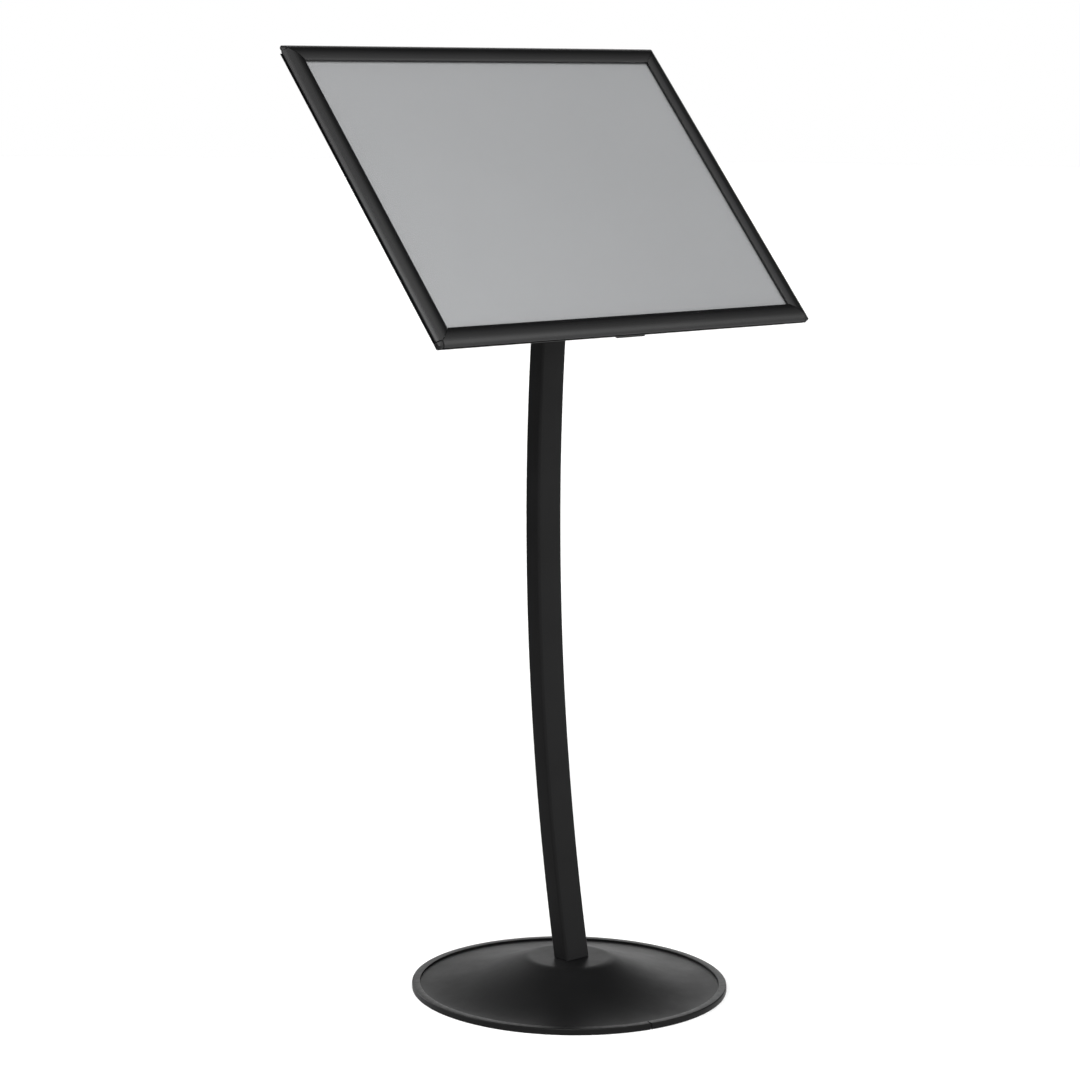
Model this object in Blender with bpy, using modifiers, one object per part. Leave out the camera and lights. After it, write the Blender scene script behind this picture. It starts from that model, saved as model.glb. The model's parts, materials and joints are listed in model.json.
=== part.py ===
"""Sign stand: domed round base, curved rectangular post and a tilted A2 snap frame.

World frame: metres, +Z up, origin on the floor at the base's centre, front of the stand towards -Y.

Each side of the snap frame is drawn in its own side frame: X runs along the side, Y inwards from the
side's outer edge, and Z out of the panel's front. A rail section is therefore an outline in (Y, Z).
"""
import math

import bmesh
import bpy
from mathutils import Matrix, Vector

MM = 0.001
GAP = 0.3 * MM                          # clearance between pieces that touch
OVERCUT = 1.0 * MM                      # how far a cutter runs on past what it cuts
SHARP_ANGLE = math.radians(30)          # edges sharper than this are shaded as edges

# Base
TRIM_RADIUS = 200.0 * MM                # outside of the edge trim
TRIM_HEIGHT = 8.0 * MM
TRIM_WIDTH = 10.0 * MM
TRIM_WALL = 2.4 * MM
TRIM_ROUNDING = 2.2 * MM
TRIM_CORNER_STEPS = 3
TRIM_JOINT_AZIMUTH = -101.25            # degrees from +X, where the trim's two ends meet
TRIM_JOINT_GAP = 0.4 * MM
PLATEAU_RADIUS = 55.2 * MM
PLATEAU_HEIGHT = 40.0 * MM
FLANK_END_RADIUS = 186.5 * MM           # where the dome's flank runs out into its flat rim
FLANK_POWER = 1.7                       # 1 is a straight cone, more is hollower
RIM_HEIGHT = 5.0 * MM                   # top of the flat rim
DOME_SHEET = 1.5 * MM
FLANK_RINGS = 10
ROUND_STEPS = 64
HOLE_STEPS = 16                         # round the small holes, shanks and screw heads
CORNER_STEPS = 4                        # in each rounded corner of an outline
SMALL_CORNER_STEPS = 2                  # in the hidden pieces' corners

# Weight and clamp under the dome
WEIGHT_RADIUS = 140.0 * MM
WEIGHT_BOTTOM = 6.0 * MM
WEIGHT_DROP = 2.8 * MM                  # below the dome's outer surface, along the flank
WEIGHT_RECESS_RADIUS = 34.0 * MM
WEIGHT_WEB_BOTTOM = 24.0 * MM
WEIGHT_CROWN_RADIUS = 50.0 * MM
WEIGHT_RINGS = 6
CLAMP_SIZE = (56.0 * MM, 30.0 * MM)
CLAMP_THICKNESS = 3.0 * MM
CLAMP_CORNER = 4.0 * MM
BOLT_X = 9.0 * MM
BOLT_Y = -2.1 * MM
BOLT_RADIUS = 3.9 * MM
BOLT_HOLE_RADIUS = 4.3 * MM
BOLT_HEAD_ACROSS_FLATS = 13.0 * MM
BOLT_HEAD_HEIGHT = 5.3 * MM
BOLT_TIP = 62.0 * MM
WASHER_OUTER_RADIUS = 7.4 * MM
WASHER_THICKNESS = 2.0 * MM
WASHER_SLIT_DEGREES = 8.0
WASHER_STEPS = 20

# Post: one arc in the plane X = 0
POST_WIDTH = 40.0 * MM
POST_DEPTH = 25.0 * MM
POST_WALL = 1.5 * MM
POST_CORNER_RADIUS = 4.0 * MM
POST_FOOT_Y = -3.7 * MM
POST_FOOT_LEAN = math.radians(11.7)     # backwards from vertical at the foot
POST_BEND_RADIUS = 2.955
POST_STATIONS = 22
POST_LENGTH_RANGE = (0.5, 1.2)          # the search for its length starts from these
POST_LENGTH_HALVINGS = 40
POST_OVERRUN = 30.0 * MM                # drawn past each end, before the ends are cut
INSERT_LENGTH = 32.0 * MM
INSERT_STATIONS = 4

# Panel
PANEL_WIDTH = 624.0 * MM
PANEL_HEIGHT = 450.0 * MM
PANEL_PITCH = math.radians(49.0)        # front face from horizontal
PANEL_CENTRE = Vector((0.0, 41.8 * MM, 1015.0 * MM))   # middle of the covers' crown plane

# Base rail section, in (Y, Z) of a side frame
RAIL_BACK = -10.8 * MM
RAIL_SHEET = 1.1 * MM
RAIL_FLOOR = RAIL_BACK + RAIL_SHEET
RAIL_OUTER = 0.2 * MM
RAIL_FLOOR_END = 14.7 * MM
RAIL_INNER = 24.2 * MM
WEB_OUTER = (6.2 * MM, 7.4 * MM)
WEB_INNER = (13.5 * MM, RAIL_FLOOR_END)
WEB_INNER_TOP = -5.6 * MM
LEDGE_TOP = -7.9 * MM
HINGE = Vector((2.9 * MM, -6.6 * MM))   # hinge axis, in (Y, Z)
BEAD_RADIUS = 1.4 * MM
BEAD_STEPS = 16
NECK_ANGLE = -20.0                      # degrees from +Y, the way from the bead to the web
NECK_HALF = 0.7 * MM

# Cover section
COVER_SHEET = 1.2 * MM
COVER_RADIUS = 22.4 * MM                # of the convex front
COVER_CROWN = 14.9 * MM                 # Y of the highest line
COVER_WIDTH = 25.0 * MM
COVER_LIP_BOTTOM = -4.9 * MM
COVER_SHOULDER = 0.41 * MM              # Y where the front meets the hook
HOOK_INNER_RADIUS = BEAD_RADIUS + GAP
HOOK_OUTER_RADIUS = 2.8 * MM
HOOK_START = 40.0                       # degrees from +Y about the hinge axis
HOOK_END = 205.0
HOOK_ROOT = 6.0 * MM                    # Y where the cover's underside turns into the hook
HOOK_OUTER_STEPS = 6
HOOK_INNER_STEPS = 10
FRONT_STEPS = 16
UNDERSIDE_STEPS = 8
MITRE_GAP = 0.5 * MM                    # between neighbouring covers
RAIL_MITRE_GAP = 0.3 * MM

# Corners
CAP_SIZE = (0.4 * MM, 8.2 * MM)         # from and to, measured in from both outer edges
CAP_TOP = -4.3 * MM
CAP_BOTTOM = -7.0 * MM
CAP_OUTER_ROUNDING = 4.5 * MM
CAP_INNER_ROUNDING = 4.0 * MM
CAP_SIDE_ROUNDING = 1.0 * MM
CAP_CORNER_STEPS = 5
CAP_EDGE_ROUNDING = 0.6 * MM
CAP_EDGE_ANGLE = math.radians(60)       # only edges sharper than this are rounded
CAP_TONGUE = (4.0 * MM, 10.2 * MM)      # from and to, along the diagonal, per axis
CAP_TONGUE_HALF = 0.85 * MM
CAP_TONGUE_LEVELS = (-7.6 * MM, -6.6 * MM)
COVER_TRIM = 8.6 * MM                   # covers stop here, short of the cap
RAIL_TRIM = 9.6 * MM                    # base rails stop here
TRIM_START = -2.0 * MM                  # corner cutters start outside the frame
TRIM_TOP = 3.0 * MM                     # and above its front
KEY_ACROSS = (7.8 * MM, 13.1 * MM)
KEY_LEG = 55.0 * MM
KEY_CORNER = 1.0 * MM
KEY_LEVELS = (-9.4 * MM, -7.9 * MM)

# Springs: C-shaped clips in the rails' channels
SPRING_CENTRE = Vector((10.5 * MM, -6.65 * MM))
SPRING_RADIUS = 2.75 * MM
SPRING_SHEET = 0.5 * MM
SPRING_ARC = (-90.0, 150.0)
SPRING_WIDTH = 16.0 * MM
SPRING_STEPS = 10
LONG_SIDE_SPRINGS = (-200.0 * MM, 0.0, 200.0 * MM)
SHORT_SIDE_SPRINGS = (-110.0 * MM, 110.0 * MM)

# Sheets, front to back
SHEET_MARGIN = 15.0 * MM                # sheet edges, in from the frame's outer edges
CLEAR_LEVELS = (-5.7 * MM, -5.2 * MM)
POSTER_LEVELS = (-6.3 * MM, -6.0 * MM)
BACKING_LEVELS = (-7.6 * MM, -6.6 * MM)

# Strap, head plate and screws behind the panel, in the panel frame
STRAP_WIDTH = 50.0 * MM
STRAP_ENDS = (-224.6 * MM, 222.2 * MM)
STRAP_THICKNESS = 3.0 * MM
STRAP_CORNER = 3.0 * MM
STRAP_FRONT = RAIL_BACK - GAP
STRAP_BACK = STRAP_FRONT - STRAP_THICKNESS
STRAP_SCREW_X = 15.0 * MM
STRAP_SCREW_INSET = 10.5 * MM           # in from the frame's outer edge
STRAP_SCREW_TIP = -7.5 * MM
PLATE_SIZE = (60.0 * MM, 100.0 * MM)
PLATE_THICKNESS = 4.0 * MM
PLATE_FRONT = STRAP_BACK - GAP
PLATE_BACK = PLATE_FRONT - PLATE_THICKNESS
PLATE_SCREW_OFFSET = (17.0 * MM, 38.0 * MM)
PLATE_SCREW_TIP = -9.4 * MM
PLATE_CORNER = 6.0 * MM

# Button-head screws: shank radius, head radius, head height and socket across flats
HEAD_SCREW = (2.5 * MM, 4.6 * MM, 2.6 * MM, 3.0 * MM)
HEAD_SCREW_HOLE = 2.9 * MM
STRAP_SCREW = (1.9 * MM, 3.8 * MM, 2.2 * MM, 2.5 * MM)
STRAP_SCREW_HOLE = 2.3 * MM
SCREW_RIM = 0.4                         # straight part of the head's side, of its height
SCREW_CROWN = 0.72                      # radius of the head's flat end, of its radius
SCREW_SOCKET_FLOOR = 0.35               # left under the socket, of the head's height

# Side frames: name, turn about the panel's normal in quarter turns, length, distance of the edge
SIDES = (
    ("bottom", 0, PANEL_WIDTH, PANEL_HEIGHT / 2),
    ("right", 1, PANEL_HEIGHT, PANEL_WIDTH / 2),
    ("top", 2, PANEL_WIDTH, PANEL_HEIGHT / 2),
    ("left", 3, PANEL_HEIGHT, PANEL_WIDTH / 2),
)
# Corners: name, sign of X and sign of Y in the panel frame
CORNERS = (
    ("bottom_left", -1, -1),
    ("bottom_right", 1, -1),
    ("top_right", 1, 1),
    ("top_left", -1, 1),
)
# The base rails' floors run on to the outer tip at this corner only
FULL_FLOOR_CORNER = "bottom_left"

# A section drawn in X and Y and extruded along Z, turned to lie along a side
ALONG_SIDE = Matrix(((0, 0, 1, 0), (1, 0, 0, 0), (0, 1, 0, 0), (0, 0, 0, 1)))


# ---------------------------------------------------------------- scene and materials

def clear_scene():
    for obj in list(bpy.data.objects):
        bpy.data.objects.remove(obj, do_unlink=True)


def new_collection(name):
    collection = bpy.data.collections.new(name)
    bpy.context.scene.collection.children.link(collection)
    return collection


def material(name, color, roughness, metallic=0.0):
    made = bpy.data.materials.new(name)
    made.use_nodes = True
    shader = made.node_tree.nodes["Principled BSDF"]
    shader.inputs["Base Color"].default_value = (*color, 1.0)
    shader.inputs["Roughness"].default_value = roughness
    shader.inputs["Metallic"].default_value = metallic
    return made


def place(obj, collection, mat=None, parent=None, location=(0, 0, 0)):
    collection.objects.link(obj)
    if mat is not None:
        obj.data.materials.clear()
        obj.data.materials.append(mat)
    obj.parent = parent
    obj.location = location
    return obj


def empty(name, parent=None, location=(0, 0, 0), rotation=(0, 0, 0)):
    made = bpy.data.objects.new(name, None)
    parts.objects.link(made)
    made.parent = parent
    made.location = location
    made.rotation_euler = rotation
    return made


# ---------------------------------------------------------------- outlines

def arc(centre, radius, start, end, steps):
    """Points on a circle from angle start to angle end, in degrees."""
    angles = [math.radians(start + (end - start) * i / steps) for i in range(steps + 1)]
    return [(centre[0] + radius * math.cos(a), centre[1] + radius * math.sin(a)) for a in angles]


def rounded(corners, steps=CORNER_STEPS):
    """Outline through (x, y, radius) corners, each rounded by an arc of its radius."""
    outline = []
    for index, (x, y, radius) in enumerate(corners):
        corner = Vector((x, y))
        if radius == 0:
            outline.append((x, y))
            continue
        before = (Vector(corners[index - 1][:2]) - corner).normalized()
        after = (Vector(corners[(index + 1) % len(corners)][:2]) - corner).normalized()
        half_angle = before.angle(after) / 2
        centre = corner + (before + after).normalized() * radius / math.sin(half_angle)
        reach = radius / math.tan(half_angle)
        start = corner + before * reach - centre
        end = corner + after * reach - centre
        turn = start.angle_signed(end)
        for step in range(steps + 1):
            point = centre + Matrix.Rotation(-turn * step / steps, 2) @ start
            outline.append((point.x, point.y))
    return outline


def rectangle(low, high, radius=0.0):
    """Corners of a rectangle, counter-clockwise, for rounded()."""
    return [(low[0], low[1], radius), (high[0], low[1], radius),
            (high[0], high[1], radius), (low[0], high[1], radius)]


# ---------------------------------------------------------------- meshes

def baked(obj):
    """The mesh that an object evaluates to, welded and facing out; the object is removed."""
    bpy.context.view_layer.update()
    evaluated = obj.evaluated_get(bpy.context.evaluated_depsgraph_get())
    mesh = bpy.data.meshes.new_from_object(evaluated)
    bm = bmesh.new()
    bm.from_mesh(mesh)
    bmesh.ops.remove_doubles(bm, verts=bm.verts, dist=0.01 * MM)
    finish_mesh(bm, mesh)
    bpy.data.objects.remove(obj, do_unlink=True)
    return mesh


def finish_mesh(bm, mesh):
    """Write bm to mesh with its faces out, smooth over round stretches and sharp at edges."""
    bmesh.ops.recalc_face_normals(bm, faces=bm.faces)
    bm.to_mesh(mesh)
    bm.free()
    mesh.shade_smooth()
    mesh.set_sharp_from_angle(angle=SHARP_ANGLE)


def flat_curve(name, outlines):
    """A 2D curve with one closed spline per outline."""
    curve = bpy.data.curves.new(name, "CURVE")
    curve.dimensions = "2D"
    for outline in outlines:
        spline = curve.splines.new("POLY")
        spline.points.add(len(outline) - 1)
        for point, (x, y) in zip(spline.points, outline):
            point.co = (x, y, 0, 1)
        spline.use_cyclic_u = True
    return curve


def prism(name, outline, low, high):
    """Mesh of an outline in X and Y, extruded from low to high along Z."""
    curve = flat_curve(name, [outline])
    curve.fill_mode = "BOTH"
    curve.extrude = (high - low) / 2
    drawn = bpy.data.objects.new(name, curve)
    guides.objects.link(drawn)
    mesh = baked(drawn)
    mesh.transform(Matrix.Translation((0, 0, (high + low) / 2)))
    return mesh


def section_along_side(name, outline, length, centre=0.0):
    """Mesh of a section in a side frame's Y and Z, extruded along its X."""
    mesh = prism(name, outline, centre - length / 2, centre + length / 2)
    mesh.transform(ALONG_SIDE)
    return mesh


def cut_away(mesh, planes):
    """Cut a closed mesh at planes (point, normal), drop what lies beyond them and close the cuts."""
    bm = bmesh.new()
    bm.from_mesh(mesh)
    for point, normal in planes:
        geometry = bm.verts[:] + bm.edges[:] + bm.faces[:]
        cut = bmesh.ops.bisect_plane(bm, geom=geometry, plane_co=point, plane_no=normal, clear_outer=True)
        edges = [item for item in cut["geom_cut"] if isinstance(item, bmesh.types.BMEdge)]
        bmesh.ops.triangle_fill(bm, use_beauty=True, edges=edges)
    finish_mesh(bm, mesh)


def turned(name, profile, steps):
    """Object of revolution about Z from (radius, height) points, outer side down, top to bottom."""
    bm = bmesh.new()
    verts = [bm.verts.new((radius, 0, height)) for radius, height in profile]
    for above, below in zip(verts, verts[1:]):
        bm.edges.new((above, below))
    mesh = bpy.data.meshes.new(name)
    bm.to_mesh(mesh)
    bm.free()
    obj = bpy.data.objects.new(name, mesh)
    screw = obj.modifiers.new("Turn", "SCREW")
    screw.axis = "Z"
    screw.steps = steps
    screw.render_steps = steps
    screw.use_merge_vertices = True
    screw.merge_threshold = 0.01 * MM
    return obj


def split_ring(name, outline, start, gap_degrees, steps):
    """Mesh of an outline in (radius, height), swept about Z from start and stopping short by a gap."""
    bm = bmesh.new()
    face = bm.faces.new([bm.verts.new((radius, 0, height)) for radius, height in outline])
    opening = math.radians(gap_degrees)
    first_turn = Matrix.Rotation(math.radians(start) + opening / 2, 4, "Z")
    bmesh.ops.transform(bm, matrix=first_turn, verts=bm.verts)
    bmesh.ops.spin(bm, geom=bm.verts[:] + bm.edges[:] + [face], cent=(0, 0, 0), axis=(0, 0, 1),
                   angle=2 * math.pi - opening, steps=steps, use_merge=False)
    mesh = bpy.data.meshes.new(name)
    finish_mesh(bm, mesh)
    return mesh


def cylinder_mesh(name, radius, low, high, segments):
    bm = bmesh.new()
    bmesh.ops.create_cone(bm, cap_ends=True, segments=segments, radius1=radius, radius2=radius,
                          depth=high - low, matrix=Matrix.Translation((0, 0, (high + low) / 2)))
    mesh = bpy.data.meshes.new(name)
    finish_mesh(bm, mesh)
    return mesh


def part(name, mesh, mat, parent=None, location=(0, 0, 0)):
    return place(bpy.data.objects.new(name, mesh), parts, mat, parent, location)


def cutter(name, mesh, parent=None, location=(0, 0, 0)):
    made = place(bpy.data.objects.new(name, mesh), guides, None, parent, location)
    made.hide_render = True
    made.display_type = "WIRE"
    return made


def combine(obj, tool, operation="DIFFERENCE"):
    boolean = obj.modifiers.new(tool.name, "BOOLEAN")
    boolean.operation = operation
    boolean.solver = "EXACT"
    boolean.object = tool


def drill(objects, name, radius, low, high, parent, location):
    """One round cutter along Z that goes through every object given."""
    tool = cutter(name, cylinder_mesh(name, radius, low, high, HOLE_STEPS), parent, location)
    for obj in objects:
        combine(obj, tool)


# ---------------------------------------------------------------- base

def flank_height(radius):
    """Height of the dome's outer surface between the plateau's edge and the rim."""
    along = (radius - PLATEAU_RADIUS) / (FLANK_END_RADIUS - PLATEAU_RADIUS)
    return RIM_HEIGHT + (PLATEAU_HEIGHT - RIM_HEIGHT) * (1 - along) ** FLANK_POWER


def flank_points(end_radius, rings, drop=0.0):
    spacing = (end_radius - PLATEAU_RADIUS) / rings
    radii = [PLATEAU_RADIUS + spacing * i for i in range(rings + 1)]
    return [(radius, flank_height(radius) - drop) for radius in radii]


def build_dome():
    rim_radius = TRIM_RADIUS - TRIM_WALL - 2 * GAP
    profile = [(0.0, PLATEAU_HEIGHT)] + flank_points(FLANK_END_RADIUS, FLANK_RINGS)
    profile.append((rim_radius, RIM_HEIGHT))
    dome = place(turned("base_dome", profile, ROUND_STEPS), parts, black_coat)
    sheet = dome.modifiers.new("Sheet", "SOLIDIFY")
    sheet.thickness = DOME_SHEET
    sheet.offset = -1
    sheet.use_even_offset = True
    return dome


def build_trim():
    inner = TRIM_RADIUS - TRIM_WIDTH
    slot_end = TRIM_RADIUS - TRIM_WALL
    slot_top = RIM_HEIGHT + GAP
    slot_bottom = RIM_HEIGHT - DOME_SHEET - GAP
    edge = TRIM_ROUNDING / 3
    corners = [(inner, 0, edge), (TRIM_RADIUS, 0, TRIM_ROUNDING),
               (TRIM_RADIUS, TRIM_HEIGHT, TRIM_ROUNDING), (inner, TRIM_HEIGHT, edge),
               (inner, slot_top, 0), (slot_end, slot_top, 0),
               (slot_end, slot_bottom, 0), (inner, slot_bottom, 0)]
    gap_degrees = math.degrees(TRIM_JOINT_GAP / TRIM_RADIUS)
    mesh = split_ring("base_edge_trim", rounded(corners, TRIM_CORNER_STEPS), TRIM_JOINT_AZIMUTH,
                      gap_degrees, ROUND_STEPS)
    return part("base_edge_trim", mesh, black_rubber)


def build_weight():
    crown = PLATEAU_HEIGHT - DOME_SHEET - GAP
    profile = [(0.0, crown), (WEIGHT_CROWN_RADIUS, crown)]
    profile += flank_points(WEIGHT_RADIUS, WEIGHT_RINGS, WEIGHT_DROP)
    profile += [(WEIGHT_RADIUS, WEIGHT_BOTTOM), (WEIGHT_RECESS_RADIUS, WEIGHT_BOTTOM),
                (WEIGHT_RECESS_RADIUS, WEIGHT_WEB_BOTTOM), (0.0, WEIGHT_WEB_BOTTOM)]
    return place(turned("base_weight", profile, ROUND_STEPS // 2), parts, cast_iron)


def build_clamp_plate():
    half = (CLAMP_SIZE[0] / 2, CLAMP_SIZE[1] / 2)
    outline = rounded(rectangle((-half[0], -half[1]), half, CLAMP_CORNER))
    high = WEIGHT_WEB_BOTTOM - GAP
    mesh = prism("base_clamp_plate", outline, high - CLAMP_THICKNESS, high)
    return part("base_clamp_plate", mesh, zinc_steel)


def build_base_bolts():
    washer_top = WEIGHT_WEB_BOTTOM - CLAMP_THICKNESS - 2 * GAP
    washer_bottom = washer_top - WASHER_THICKNESS
    head_top = washer_bottom - GAP
    washer_outline = [(BOLT_HOLE_RADIUS, washer_bottom), (WASHER_OUTER_RADIUS, washer_bottom),
                      (WASHER_OUTER_RADIUS, washer_top), (BOLT_HOLE_RADIUS, washer_top)]
    head_radius = BOLT_HEAD_ACROSS_FLATS / math.sqrt(3)
    head = cutter("bolt_head", cylinder_mesh("bolt_head", head_radius, head_top - BOLT_HEAD_HEIGHT,
                                             head_top, 6))
    shank = cylinder_mesh("bolt", BOLT_RADIUS, head_top - OVERCUT, BOLT_TIP, HOLE_STEPS)
    drawn = place(bpy.data.objects.new("bolt", shank), guides)
    combine(drawn, head, "UNION")
    bolt_mesh = baked(drawn)
    bpy.data.objects.remove(head, do_unlink=True)
    washer_mesh = split_ring("washer", washer_outline, 0, WASHER_SLIT_DEGREES, WASHER_STEPS)
    for side, x in (("left", -BOLT_X), ("right", BOLT_X)):
        part(f"base_bolt_{side}", bolt_mesh, zinc_steel, None, (x, BOLT_Y, 0))
        part(f"base_lock_washer_{side}", washer_mesh, zinc_steel, None, (x, BOLT_Y, 0))


# ---------------------------------------------------------------- post

def post_point(length):
    """Point of the post's centre line, measured along it from the foot."""
    lean = POST_FOOT_LEAN - length / POST_BEND_RADIUS
    y = POST_FOOT_Y + POST_BEND_RADIUS * (math.cos(lean) - math.cos(POST_FOOT_LEAN))
    z = PLATEAU_HEIGHT + GAP + POST_BEND_RADIUS * (math.sin(POST_FOOT_LEAN) - math.sin(lean))
    return Vector((0, y, z))


def post_section(shrink):
    half = (POST_WIDTH / 2 - shrink, POST_DEPTH / 2 - shrink)
    radius = max(POST_CORNER_RADIUS - shrink, MM)
    steps = CORNER_STEPS if shrink == 0 else SMALL_CORNER_STEPS
    return rounded(rectangle((-half[0], -half[1]), half, radius), steps)


def swept_along_post(name, outlines, start, end, stations):
    """Mesh of open tubes with the given sections, along the post's centre line."""
    section = bpy.data.objects.new(name + "_section", flat_curve(name + "_section", outlines))
    path = bpy.data.curves.new(name, "CURVE")
    path.dimensions = "3D"
    path.bevel_mode = "OBJECT"
    path.bevel_object = section
    spline = path.splines.new("POLY")
    spline.points.add(stations)
    for index, point in enumerate(spline.points):
        point.co = (*post_point(start + (end - start) * index / stations), 1)
    drawn = bpy.data.objects.new(name, path)
    for guide in (section, drawn):
        guides.objects.link(guide)
    mesh = baked(drawn)
    bpy.data.objects.remove(section, do_unlink=True)
    return mesh


def panel_axes():
    """The panel frame's Y axis (up its front) and Z axis (out of its front), in the world."""
    turn = Matrix.Rotation(PANEL_PITCH, 3, "X")
    return turn @ Vector((0, 1, 0)), turn @ Vector((0, 0, 1))


def post_length_to_plate():
    """Length of the centre line from the foot to the head plate's back, by halving."""
    normal = panel_axes()[1]
    target = PLATE_BACK - GAP
    low, high = POST_LENGTH_RANGE
    for _ in range(POST_LENGTH_HALVINGS):
        middle = (low + high) / 2
        if (post_point(middle) - PANEL_CENTRE).dot(normal) < target:
            low = middle
        else:
            high = middle
    return low


def foot_plane():
    return Vector((0, 0, PLATEAU_HEIGHT + GAP)), Vector((0, 0, -1))


def build_post(length):
    outlines = [post_section(0), post_section(POST_WALL)]
    mesh = swept_along_post("post_tube", outlines, -POST_OVERRUN, length + POST_OVERRUN, POST_STATIONS)
    cut_away(mesh, [foot_plane(), (post_point(length), panel_axes()[1])])
    return part("post_tube", mesh, black_coat)


def build_foot_insert():
    outlines = [post_section(POST_WALL + GAP)]
    mesh = swept_along_post("post_foot_insert", outlines, -POST_OVERRUN, INSERT_LENGTH + POST_OVERRUN,
                            INSERT_STATIONS)
    top = post_point(INSERT_LENGTH)
    cut_away(mesh, [foot_plane(), (top, (0, 0, 1))])
    return part("post_foot_insert", mesh, zinc_steel)


# ---------------------------------------------------------------- snap frame

def rail_outline():
    neck = math.radians(NECK_ANGLE)
    spread = math.degrees(math.asin(NECK_HALF / BEAD_RADIUS))
    bead = arc(HINGE, BEAD_RADIUS, NECK_ANGLE + spread, NECK_ANGLE + 360 - spread, BEAD_STEPS)
    upper = bead[0][1] + (WEB_OUTER[1] - bead[0][0]) * math.tan(neck)
    lower = bead[-1][1] + (WEB_OUTER[0] - bead[-1][0]) * math.tan(neck)
    ledge_bottom = LEDGE_TOP - RAIL_SHEET
    outline = [(RAIL_OUTER, RAIL_FLOOR), (RAIL_OUTER, RAIL_BACK), (RAIL_FLOOR_END, RAIL_BACK),
               (RAIL_FLOOR_END, ledge_bottom), (RAIL_INNER, ledge_bottom), (RAIL_INNER, LEDGE_TOP),
               (WEB_INNER[1], LEDGE_TOP), (WEB_INNER[1], WEB_INNER_TOP), (WEB_INNER[0], WEB_INNER_TOP),
               (WEB_INNER[0], RAIL_FLOOR), (WEB_OUTER[1], RAIL_FLOOR), (WEB_OUTER[1], upper)]
    return outline + bead + [(WEB_OUTER[0], lower), (WEB_OUTER[0], RAIL_FLOOR)]


def front_arc(radius, start, end, steps):
    """Points on a circle about the cover's centre of curvature, between two values of Y."""
    step = (end - start) / steps
    across = [start + step * i for i in range(steps + 1)]
    return [(y, -COVER_RADIUS + math.sqrt(radius ** 2 - (y - COVER_CROWN) ** 2)) for y in across]


def cover_outline():
    front = front_arc(COVER_RADIUS, COVER_SHOULDER, COVER_WIDTH, FRONT_STEPS)
    shoulder = Vector(front[0]) - HINGE
    shoulder_angle = math.degrees(math.atan2(shoulder.y, shoulder.x))
    lip_inner = COVER_WIDTH - COVER_SHEET
    outline = arc(HINGE, HOOK_OUTER_RADIUS, HOOK_END, shoulder_angle, HOOK_OUTER_STEPS)[:-1] + front
    outline += [(COVER_WIDTH, COVER_LIP_BOTTOM), (lip_inner, COVER_LIP_BOTTOM)]
    outline += front_arc(COVER_RADIUS - COVER_SHEET, lip_inner, HOOK_ROOT, UNDERSIDE_STEPS)
    return outline + arc(HINGE, HOOK_INNER_RADIUS, HOOK_START, HOOK_END, HOOK_INNER_STEPS)


def mitre_planes(length, gap):
    """Planes at both ends of a side, half the gap short of the corner's diagonal."""
    planes = []
    for end in (-1, 1):
        normal = Vector((end, 1, 0)).normalized()
        planes.append((Vector((end * length / 2, 0, 0)) - normal * gap / 2, normal))
    return planes


def corner_outline(low, high, outer, inner):
    """Rounded square at a corner whose outer tip is at (0, 0), for a corner in the +X, +Y quarter."""
    corners = [(low, low, outer), (high, low, CAP_SIDE_ROUNDING),
               (high, high, inner), (low, high, CAP_SIDE_ROUNDING)]
    return rounded(corners, CAP_CORNER_STEPS)


def mirrored(mesh, sign_x, sign_y):
    """Turn a corner mesh drawn for the frame's lower left corner to another corner."""
    mesh.transform(Matrix.Diagonal((sign_x, sign_y, 1, 1)))
    if sign_x * sign_y < 0:
        mesh.flip_normals()
    return mesh


def build_sides():
    """The four side frames, each with its base rail, cover and springs."""
    frames = {}
    for name, quarter_turns, length, reach in SIDES:
        angle = quarter_turns * math.pi / 2
        edge = (math.sin(angle) * reach, -math.cos(angle) * reach, 0)
        frame = empty(f"side_{name}", panel, edge, (0, 0, angle))
        rail_mesh = section_along_side("rail", rail_outline(), length)
        cut_away(rail_mesh, mitre_planes(length, RAIL_MITRE_GAP))
        cover_mesh = section_along_side("cover", cover_outline(), length)
        cut_away(cover_mesh, mitre_planes(length, MITRE_GAP))
        cover_mesh.transform(Matrix.Translation((0, -HINGE.x, -HINGE.y)))
        rail = part(f"rail_{name}", rail_mesh, black_anodised, frame)
        cover = part(f"cover_{name}", cover_mesh, black_anodised, frame, (0, HINGE.x, HINGE.y))
        frames[name] = (frame, rail, cover)
        centres = LONG_SIDE_SPRINGS if length == PANEL_WIDTH else SHORT_SIDE_SPRINGS
        for number, centre in enumerate(centres, 1):
            part(f"spring_{name}_{number}", spring_mesh, spring_steel, frame, (centre, 0, 0))
    return frames


def build_spring_mesh():
    outer = arc(SPRING_CENTRE, SPRING_RADIUS, *SPRING_ARC, SPRING_STEPS)
    inner = arc(SPRING_CENTRE, SPRING_RADIUS - SPRING_SHEET, *reversed(SPRING_ARC), SPRING_STEPS)
    return section_along_side("spring", outer + inner, SPRING_WIDTH)


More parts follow.
